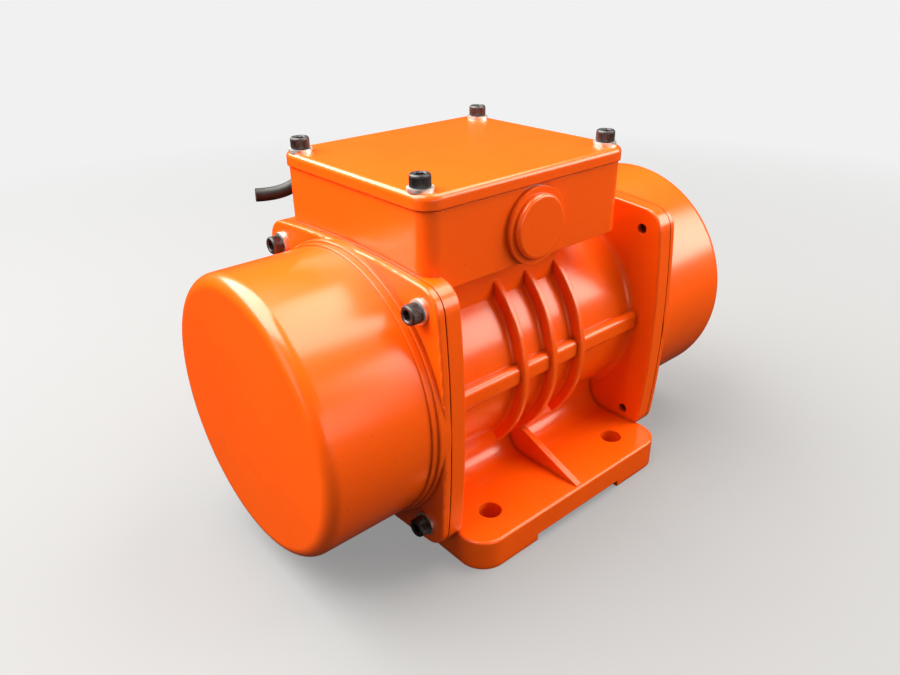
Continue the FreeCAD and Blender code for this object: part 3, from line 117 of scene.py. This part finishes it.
class Shader:
    """A material's node tree, with short calls for the nodes that the finishes share."""

    def __init__(self, name):
        self.material = bpy.data.materials.new(name)
        self.material.use_nodes = True
        self.tree = self.material.node_tree
        self.surface = self.tree.nodes["Principled BSDF"]
        self.place = self.tree.nodes.new("ShaderNodeTexCoord").outputs["Object"]

    def node(self, kind, **numbers):
        """New node, with the given numbers on its sockets."""
        node = self.tree.nodes.new(kind)
        for name, value in numbers.items():
            node.inputs[name.replace("_", " ")].default_value = value
        return node

    def link(self, output, node, socket):
        self.tree.links.new(output, node.inputs[socket])

    def scaled(self, factors):
        """The place, stretched along the axes."""
        node = self.node("ShaderNodeMapping", Scale=factors)
        self.link(self.place, node, "Vector")
        return node.outputs["Vector"]

    def noise(self, scale, detail=2.0, vector=None):
        node = self.node("ShaderNodeTexNoise", Scale=scale, Detail=detail)
        self.link(vector or self.place, node, "Vector")
        return node.outputs["Fac"]

    def span(self, value, low, high, to_low, to_high):
        """Maps a value from one range to another, clamped."""
        node = self.node("ShaderNodeMapRange", From_Min=low, From_Max=high, To_Min=to_low,
                         To_Max=to_high)
        self.link(value, node, "Value")
        return node.outputs["Result"]

    def spread(self, noise, low=0.0, high=1.0):
        """A noise's usual range, spread over another."""
        return self.span(noise, NOISE_LOW, NOISE_HIGH, low, high)

    def clouds(self, scale, low=0.0, high=1.0, detail=3.0, vector=None):
        """Soft noise between two values."""
        return self.spread(self.noise(scale, detail, vector), low, high)

    def blend(self, factor, first, second):
        """Mix of two colours, the first a colour or an output, the second a colour."""
        node = self.node("ShaderNodeMix")
        node.data_type = "RGBA"
        self.link(factor, node, "Factor")
        if isinstance(first, tuple):
            node.inputs[6].default_value = (*first, 1.0)
        else:
            self.link(first, node, 6)
        node.inputs[7].default_value = (*second, 1.0)
        return node.outputs[2]

    def bump(self, height, distance, normal=None):
        node = self.node("ShaderNodeBump", Distance=distance)
        self.link(height, node, "Height")
        if normal:
            self.link(normal, node, "Normal")
        return node.outputs["Normal"]

    def soft_edges(self, radius):
        """Normal that rounds sharp edges in the light."""
        node = self.node("ShaderNodeBevel", Radius=radius)
        node.samples = BEVEL_SAMPLES
        return node.outputs["Normal"]

    def openness(self, distance):
        """1 on open faces, less in grooves and corners narrower than the distance."""
        node = self.node("ShaderNodeAmbientOcclusion", Distance=distance)
        node.samples = OPENNESS_SAMPLES
        return node.outputs["AO"]

    def finish(self, colour, roughness, normal, **numbers):
        """The material, with outputs and plain numbers on the surface's sockets."""
        for output, socket in ((colour, "Base Color"), (roughness, "Roughness"),
                               (normal, "Normal")):
            if output is not None:
                self.link(output, self.surface, socket)
        for name, value in numbers.items():
            self.surface.inputs[name.replace("_", " ")].default_value = value
        return self.material


# ---- finishes: colours are linear, scales are per metre, heights in metres ---------------

PAINT_DEEP, PAINT_LIGHT = (0.88, 0.092, 0.0006), (0.94, 0.106, 0.0008)
PAINT_SMOOTH, PAINT_ROUGH, COAT_ROUGHNESS, BASE_SPECULAR = 0.30, 0.40, 0.22, 0.10
TONE_SCALE, GLOSS_SCALE, WAVE_SCALE, PEEL_SCALE = 9.0, 40.0, 30.0, 520.0
# The second colour on the next line is painted shade: the dark red that the paint takes in grooves
# and corners.
SPECK_COLOUR, GROOVE_SHADE_COLOUR = (0.34, 0.03, 0.003), (0.22, 0.010, 0.0005)
SPECK_SCALE, SPECK_FROM, SPECK_TO, SPECK_SHARE = 380.0, 0.785, 0.81, 0.6
# Reach, openness range and share of the painted shade in the paint's grooves and corners.
GROOVE_SHADE_WIDTH, GROOVE_SHADE_DEEP, GROOVE_SHADE_OPEN, GROOVE_SHADE_SHARE = 0.005, 0.30, 0.80, 0.75
EDGE_RADIUS, WAVE_HEIGHT, PEEL_HEIGHT = 0.0009, 0.0005, 0.00002
METAL_GRAIN, PLAIN_GRAIN = 0.00002, 0.00003
METAL_GRAIN_SCALE = 1800.0
SHEET_DARK, SHEET_LIGHT = (0.10, 0.105, 0.12), (0.22, 0.22, 0.24)
SHEET_SCALE, SHEET_STRETCH, SHEET_HEIGHT = 2.0, (900.0, 1.0, 1.0), 0.00005
SHEET_ROUGHNESS = 0.45

# Slot: light and dark colour, scale of the clouds, least and most roughness, and where they
# aren't the usual ones the grain's height and the stretch of the clouds along the axes.
METALS = {
    "black_oxide": ((0.115, 0.115, 0.120), (0.062, 0.062, 0.066), 160.0, 0.42, 0.56),
    "zinc_steel": ((0.92, 0.92, 0.92), (0.76, 0.77, 0.79), 220.0, 0.38, 0.52),
    "bearing_steel": ((0.80, 0.81, 0.83), (0.70, 0.71, 0.74), 60.0, 0.08, 0.16),
    "machined_steel": ((0.60, 0.60, 0.62), (0.45, 0.45, 0.47), 40.0, 0.22, 0.38, METAL_GRAIN,
                       (20.0, 1.0, 1.0)),
    "weight_steel": ((0.40, 0.40, 0.41), (0.33, 0.33, 0.34), 120.0, 0.34, 0.46, 0.00004,
                     (6.0, 1.0, 1.0)),
    "cast_shield": ((0.26, 0.26, 0.27), (0.20, 0.20, 0.21), 260.0, 0.5, 0.65, 0.00008),
    "winding_copper": ((0.72, 0.26, 0.10), (0.45, 0.14, 0.05), 90.0, 0.3, 0.5, 0.0001,
                       (1.0, 6.0, 6.0)),
    "cage_aluminium": ((0.78, 0.79, 0.80), (0.62, 0.63, 0.64), 50.0, 0.35, 0.5),
    "brass": ((0.85, 0.62, 0.24), (0.66, 0.45, 0.15), 120.0, 0.18, 0.34),
    "gland_nickel": ((0.70, 0.68, 0.62), (0.52, 0.50, 0.45), 120.0, 0.16, 0.30),
}
# Slot: light and dark colour, scale of the clouds, least and most roughness.
PLAINS = {
    "gasket_rubber": ((0.020, 0.019, 0.018), (0.008, 0.008, 0.008), 200.0, 0.6, 0.8),
    "terminal_moulding": ((0.035, 0.030, 0.026), (0.018, 0.016, 0.014), 200.0, 0.4, 0.55),
    "cable_sheath": ((0.009, 0.009, 0.010), (0.005, 0.005, 0.006), 260.0, 0.45, 0.60),
    "core_insulation": ((0.16, 0.055, 0.028), (0.10, 0.034, 0.018), 200.0, 0.35, 0.5),
}


def orange_paint(name):
    """Gloss paint over a casting: waviness, orange-peel, soft edges, specks, painted shade in
    grooves.
    """
    tree = Shader(name)
    paint = tree.blend(tree.clouds(TONE_SCALE), PAINT_DEEP, PAINT_LIGHT)
    specks = tree.span(tree.noise(SPECK_SCALE, detail=1.0), SPECK_FROM, SPECK_TO, 0.0, SPECK_SHARE)
    # Painted shade: the paint is darkened toward a dark red where the occlusion node finds grooves
    # and corners.
    groove_shade = tree.span(tree.openness(GROOVE_SHADE_WIDTH), GROOVE_SHADE_DEEP, GROOVE_SHADE_OPEN, GROOVE_SHADE_SHARE, 0.0)
    colour = tree.blend(groove_shade, tree.blend(specks, paint, SPECK_COLOUR), GROOVE_SHADE_COLOUR)
    waves = tree.bump(tree.noise(WAVE_SCALE), WAVE_HEIGHT, tree.soft_edges(EDGE_RADIUS))
    peel = tree.bump(tree.noise(PEEL_SCALE), PEEL_HEIGHT, waves)
    roughness = tree.clouds(GLOSS_SCALE, PAINT_SMOOTH, PAINT_ROUGH)
    return tree.finish(colour, roughness, peel, Coat_Weight=1.0, Coat_Roughness=COAT_ROUGHNESS,
                       Specular_IOR_Level=BASE_SPECULAR)


def metal(name, light, dark, scale, low, high, grain=METAL_GRAIN, stretch=(1, 1, 1)):
    """Bare or plated metal, with cloudy tone and a fine machined or plated grain."""
    tree = Shader(name)
    vector = tree.scaled(stretch)
    colour = tree.blend(tree.clouds(scale, detail=4.0, vector=vector), dark, light)
    roughness = tree.clouds(scale * 2.0, low, high, vector=vector)
    normal = tree.bump(tree.noise(METAL_GRAIN_SCALE, vector=vector), grain)
    return tree.finish(colour, roughness, normal, Metallic=1.0)


def plain(name, light, dark, scale, low, high):
    """Rubber, sheath or moulding, with a fine grain."""
    tree = Shader(name)
    colour = tree.blend(tree.clouds(scale), dark, light)
    roughness = tree.clouds(scale * 0.5, low, high, detail=2.0)
    normal = tree.bump(tree.noise(scale * 8.0), PLAIN_GRAIN)
    return tree.finish(colour, roughness, normal)


def laminations(name):
    """Edges of stacked sheets, as fine lines across the shaft's direction."""
    tree = Shader(name)
    stack = tree.noise(SHEET_SCALE, detail=1.0, vector=tree.scaled(SHEET_STRETCH))
    colour = tree.blend(tree.spread(stack), SHEET_DARK, SHEET_LIGHT)
    return tree.finish(colour, None, tree.bump(stack, SHEET_HEIGHT), Metallic=1.0,
                       Roughness=SHEET_ROUGHNESS)


def finishes():
    """The material of each slot."""
    made = {"orange_paint": orange_paint("orange_paint"),
            "lamination_steel": laminations("lamination_steel")}
    made.update((name, metal(name, *row)) for name, row in METALS.items())
    made.update((name, plain(name, *row)) for name, row in PLAINS.items())
    return made


# ---- meshes ----------------------------------------------------------------------------

def piece_from(mesh_maker, name, slot):
    """New piece on the casing, with its slot's finish, from a function that fills a bmesh."""
    mesh = bpy.data.meshes.new(name)
    form = bmesh.new()
    mesh_maker(form)
    bmesh.ops.recalc_face_normals(form, faces=form.faces)
    form.to_mesh(mesh)
    form.free()
    obj = bpy.data.objects.new(name, mesh)
    bpy.context.collection.objects.link(obj)
    mesh.materials.append(FINISHES[slot])
    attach(obj, CASING)
    return obj


def loop_of(radii, z):
    """Closed loop round the Z axis, from its radius at each equal step of the turn."""
    angles = [2 * math.pi * i / len(radii) for i in range(len(radii))]
    return [(r * math.cos(a), r * math.sin(a), z) for r, a in zip(radii, angles)]


def bridge(form, where, loops, close_first=False):
    """Skins closed loops of points, placed by a matrix, and closes the last one."""
    rings = [[form.verts.new(where @ Vector(point)) for point in loop] for loop in loops]
    for low, high in zip(rings, rings[1:]):
        for i in range(len(low)):
            j = (i + 1) % len(low)
            form.faces.new((low[i], low[j], high[j], high[i]))
    if close_first:
        form.faces.new(rings[0][::-1])
    form.faces.new(rings[-1])


def upright_to(direction):
    """Matrix that turns +Z to a direction."""
    return Vector((0, 0, 1)).rotation_difference(Vector(direction)).to_matrix().to_4x4()


# ---- screws ----------------------------------------------------------------------------

HEAD_RADIUS, SHANK_RADIUS = 0.005, 0.003
SOCKET_APOTHEM, SOCKET_DEPTH = 0.0025, 0.003
CHAMFER, KNURL = 0.10 * HEAD_RADIUS, 0.022 * HEAD_RADIUS
KNURLS = 48
HEAD_STEPS, SHANK_STEPS = 2 * KNURLS, 24
FIRST_TURN, NEXT_TURN = 0.4, 1.1        # radians, so that no two sockets stand alike


def head_loops(height):
    """Loops of a knurled socket head: outer wall, chamfers, hexagon socket and its floor."""

    def even(radius):
        return [radius] * HEAD_STEPS

    wall = HEAD_RADIUS - KNURL
    knurled = [wall + (KNURL if i % 2 else -KNURL) for i in range(HEAD_STEPS)]
    angles = [2 * math.pi * i / HEAD_STEPS for i in range(HEAD_STEPS)]
    hexagon = [SOCKET_APOTHEM / math.cos(a % (math.pi / 3) - math.pi / 6) for a in angles]
    profile = [
        (even(HEAD_RADIUS - CHAMFER), 0.0),                     # seat
        (even(wall), CHAMFER * 0.8),
        (knurled, CHAMFER),                                     # knurls
        (knurled, height * 0.80),
        (even(wall), height * 0.83),                            # shoulder
        (even(HEAD_RADIUS - CHAMFER * 0.3), height * 0.90),
        (even(HEAD_RADIUS - CHAMFER * 1.4), height),            # flat top
        (even(SOCKET_APOTHEM * 1.24), height),
        (even(SOCKET_APOTHEM * 1.17), height - CHAMFER * 0.5),  # socket
        (hexagon, height - CHAMFER),
        (hexagon, height - SOCKET_DEPTH),
        (even(SOCKET_APOTHEM * 0.35), height - SOCKET_DEPTH * 1.25),
    ]
    return [loop_of(radii, z) for radii, z in profile]


def add_screws(name, seats, direction, height, length):
    """Socket screws seated at points, with their heads standing along a direction."""

    def make(form):
        for k, seat in enumerate(seats):
            spin = Matrix.Rotation(FIRST_TURN + NEXT_TURN * k, 4, "Z")
            where = Matrix.Translation(seat) @ upright_to(direction) @ spin
            bridge(form, where, head_loops(height), close_first=True)
            bridge(form, where, [loop_of([SHANK_RADIUS] * SHANK_STEPS, z) for z in (0.0, -length)])

    return piece_from(make, name, "black_oxide")


def corners(node):
    """Least and greatest corner of a CAD node's box."""
    low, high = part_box(node)
    return Vector(low), Vector(high)


def rows(low, high):
    """The two rows of head centres between a set's least and greatest reach."""
    return low + HEAD_RADIUS, high - HEAD_RADIUS


def cover_screws(side):
    """Knurled screws in place of an end cover's four."""
    node = f"cover_bolts_{side}"
    low, high = corners(node)
    washer_low, washer_high = corners(f"cover_washers_{side}")
    if side == "right":
        outward, seat_x, head_x, tip_x = 1, washer_high.x, high.x, low.x
    else:
        outward, seat_x, head_x, tip_x = -1, washer_low.x, low.x, high.x
    seats = [Vector((seat_x, y, z)) for y in rows(low.y, high.y) for z in rows(low.z, high.z)]
    piece = add_screws(f"{node}_knurled", seats, (outward, 0, 0), abs(head_x - seat_x),
                       abs(seat_x - tip_x))
    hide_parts(node)


def lid_screws():
    """Knurled screws in place of the lid's four."""
    low, high = corners("lid_screws")
    seat_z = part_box("lid_washers")[1][2]
    seats = [Vector((x, y, seat_z)) for x in rows(low.x, high.x) for y in rows(low.y, high.y)]
    piece = add_screws("lid_screws_knurled", seats, (0, 0, 1), high.z - seat_z, seat_z - low.z)
    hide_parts("lid_screws")


# ---- cable -----------------------------------------------------------------------------

CABLE_RADIUS = 0.0045
CABLE_ROUTE = [(-0.0148, 0.0880, 0.1700), (-0.0148, 0.1060, 0.1700), (-0.0180, 0.1245, 0.1650),
               (-0.0275, 0.1400, 0.1550), (-0.0420, 0.1505, 0.1460), (-0.0555, 0.1560, 0.1470)]
SPLINE_STEPS, SECTION_STEPS = 16, 8
CORES, CORE_STEPS = 4, 20
CORE_RADIUS, CORE_SPREAD, CORE_PROUD = 0.0013, 0.0020, 0.00008
CORE_TURN = 0.2 * math.pi
# Radius and height of a core's loops, from inside the sheath to the wire in its middle.
CORE_PROFILE = ((CORE_RADIUS, -CORE_RADIUS), (CORE_RADIUS, CORE_PROUD * 0.6),
                (CORE_RADIUS * 0.93, CORE_PROUD), (CORE_RADIUS * 0.6, CORE_PROUD),
                (CORE_RADIUS * 0.55, CORE_PROUD * 0.5))


def cable_curve(name, slot):
    """The cable's sheath: one NURBS spline along its route, with a round section."""
    data = bpy.data.curves.new(name, "CURVE")
    data.dimensions = "3D"
    spline = data.splines.new("NURBS")
    spline.points.add(len(CABLE_ROUTE) - 1)
    for point, where in zip(spline.points, CABLE_ROUTE):
        point.co = (*where, 1.0)
    spline.order_u = 3
    spline.use_endpoint_u = True
    spline.resolution_u = SPLINE_STEPS
    data.bevel_depth = CABLE_RADIUS
    data.bevel_resolution = SECTION_STEPS
    data.use_fill_caps = True
    data.materials.append(FINISHES[slot])
    obj = bpy.data.objects.new(name, data)
    bpy.context.collection.objects.link(obj)
    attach(obj, CASING)
    return obj


def add_cable():
    """Cable hanging from its gland to a cut end, where its cores show."""
    cable = cable_curve("free_cable", "cable_sheath")
    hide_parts("power_cable")
    end, before = Vector(CABLE_ROUTE[-1]), Vector(CABLE_ROUTE[-2])
    cut = Matrix.Translation(end) @ upright_to((end - before).normalized())

    def make(form):
        for k in range(CORES):
            angle = CORE_TURN + 2 * math.pi * k / CORES
            aside = (CORE_SPREAD * math.cos(angle), CORE_SPREAD * math.sin(angle), 0)
            bridge(form, cut @ Matrix.Translation(aside),
                   [loop_of([radius] * CORE_STEPS, z) for radius, z in CORE_PROFILE])

    cores = piece_from(make, "cut_cores", "core_insulation")


# ---- finishes on the CAD nodes ----------------------------------------------------------

def dress_nodes():
    """Gives each CAD node the finish of its slot in the record."""
    slots = {part["node"]: part["material_slot"] for part in frame["record"]["subparts"]}
    for node, obj in frame["nodes"].items():
        for holder in [obj, *obj.children_recursive]:
            if holder.type == "MESH":
                for place in holder.material_slots:
                    place.material = FINISHES[slots[node]]


# ---- stage -----------------------------------------------------------------------------

WHITE = (0.88, 0.88, 0.88, 1.0)         # of the backdrop and of the floor's far part
FLOOR_REACH, FLOOR_GAP = 6.0, 0.0001
FLOOR_COLOUR, FLOOR_ROUGHNESS = (0.190, 0.197, 0.212, 1.0), 0.8
FADE_FROM, FADE_TO, FADE_LEAST = 0.20, 1.00, 0.30
FLOOR_TO_OBJECT, FLOOR_IN_GLOSS = 0.05, 0.025
WORLD_TO_OBJECT, WORLD_IN_GLOSS = 0.22, 0.05


def grey(level):
    return (level, level, level, 1.0)


def add_floor():
    """Plain pale floor, which fades to the backdrop's white and is dim in reflections."""
    mesh = bpy.data.meshes.new("floor")
    reach = FLOOR_REACH
    mesh.from_pydata([(-reach, -reach, 0), (reach, -reach, 0), (reach, reach, 0),
                      (-reach, reach, 0)], [], [(0, 1, 2, 3)])
    floor = bpy.data.objects.new("floor", mesh)
    floor.location.z = CAD_BOX[0][2] - FLOOR_GAP
    bpy.context.collection.objects.link(floor)
    shader = Shader("pale_floor")
    shader.surface.inputs["Base Color"].default_value = FLOOR_COLOUR
    shader.surface.inputs["Roughness"].default_value = FLOOR_ROUGHNESS
    distance = shader.node("ShaderNodeVectorMath")
    distance.operation = "LENGTH"
    shader.link(shader.place, distance, 0)
    fade = shader.span(distance.outputs["Value"], FADE_FROM, FADE_TO, FADE_LEAST, 1.0)
    white = shader.node("ShaderNodeEmission", Color=WHITE).outputs["Emission"]
    dull = shader.node("ShaderNodeBsdfDiffuse", Color=grey(FLOOR_TO_OBJECT)).outputs["BSDF"]
    dim = shader.node("ShaderNodeEmission", Color=grey(FLOOR_IN_GLOSS)).outputs["Emission"]
    rays = shader.node("ShaderNodeLightPath").outputs
    seen = mix_shader(shader.tree, fade, shader.surface.outputs["BSDF"], white)
    unseen = mix_shader(shader.tree, rays["Is Glossy Ray"], dull, dim)
    shader.link(mix_shader(shader.tree, rays["Is Camera Ray"], unseen, seen),
                shader.tree.nodes["Material Output"], "Surface")
    mesh.materials.append(shader.material)


def add_world():
    """White to the camera, dim to the object and dimmer in its reflections."""
    world = bpy.data.worlds.new("studio")
    bpy.context.scene.world = world
    world.use_nodes = True
    tree = world.node_tree
    rays = tree.nodes.new("ShaderNodeLightPath").outputs

    def background(colour, strength):
        node = tree.nodes.new("ShaderNodeBackground")
        node.inputs["Color"].default_value = colour
        node.inputs["Strength"].default_value = strength
        return node.outputs["Background"]

    lit = mix_shader(tree, rays["Is Glossy Ray"], background(grey(1), WORLD_TO_OBJECT),
                     background(grey(1), WORLD_IN_GLOSS))
    shown = mix_shader(tree, rays["Is Camera Ray"], lit, background(WHITE, 1.0))
    tree.links.new(shown, tree.nodes["World Output"].inputs["Surface"])


LIGHTS_AIM = (0.0, 0.0, 0.10)
CREAM, WARM, NEUTRAL = (1.0, 0.92, 0.78), (1.0, 0.95, 0.86), (1.0, 1.0, 1.0)
# Name, place, width, height, watts and colour.
LIGHTS = (
    ("softbox", (0.50, -0.12, 1.12), 0.9, 0.6, 13.0, CREAM),
    ("right", (0.88, -0.74, 0.58), 0.9, 0.6, 12.5, CREAM),
    ("back_top", (-0.50, 0.55, 1.15), 1.6, 1.4, 80.0, WARM),
    ("left", (-1.25, 0.10, 0.35), 0.6, 0.6, 1.5, NEUTRAL),
    ("front", (0.0, -1.40, 0.30), 1.2, 0.5, 3.5, CREAM),
)


def add_light(name, place, width, height, watts, colour):
    data = bpy.data.lights.new(name, "AREA")
    data.shape = "RECTANGLE"
    data.size = width
    data.size_y = height
    data.energy = watts
    data.color = colour
    light = bpy.data.objects.new(name, data)
    light.location = place
    facing = Vector(LIGHTS_AIM) - Vector(place)
    light.rotation_euler = facing.to_track_quat("-Z", "Y").to_euler()
    bpy.context.collection.objects.link(light)


# ---- the scene -------------------------------------------------------------------------

bpy.context.scene.view_settings.view_transform = "Standard"
add_camera()
FINISHES = finishes()
add_cable()
dress_nodes()
lid_screws()
for end in ("left", "right"):
    cover_screws(end)
add_floor()
add_world()
for light in LIGHTS:
    add_light(*light)
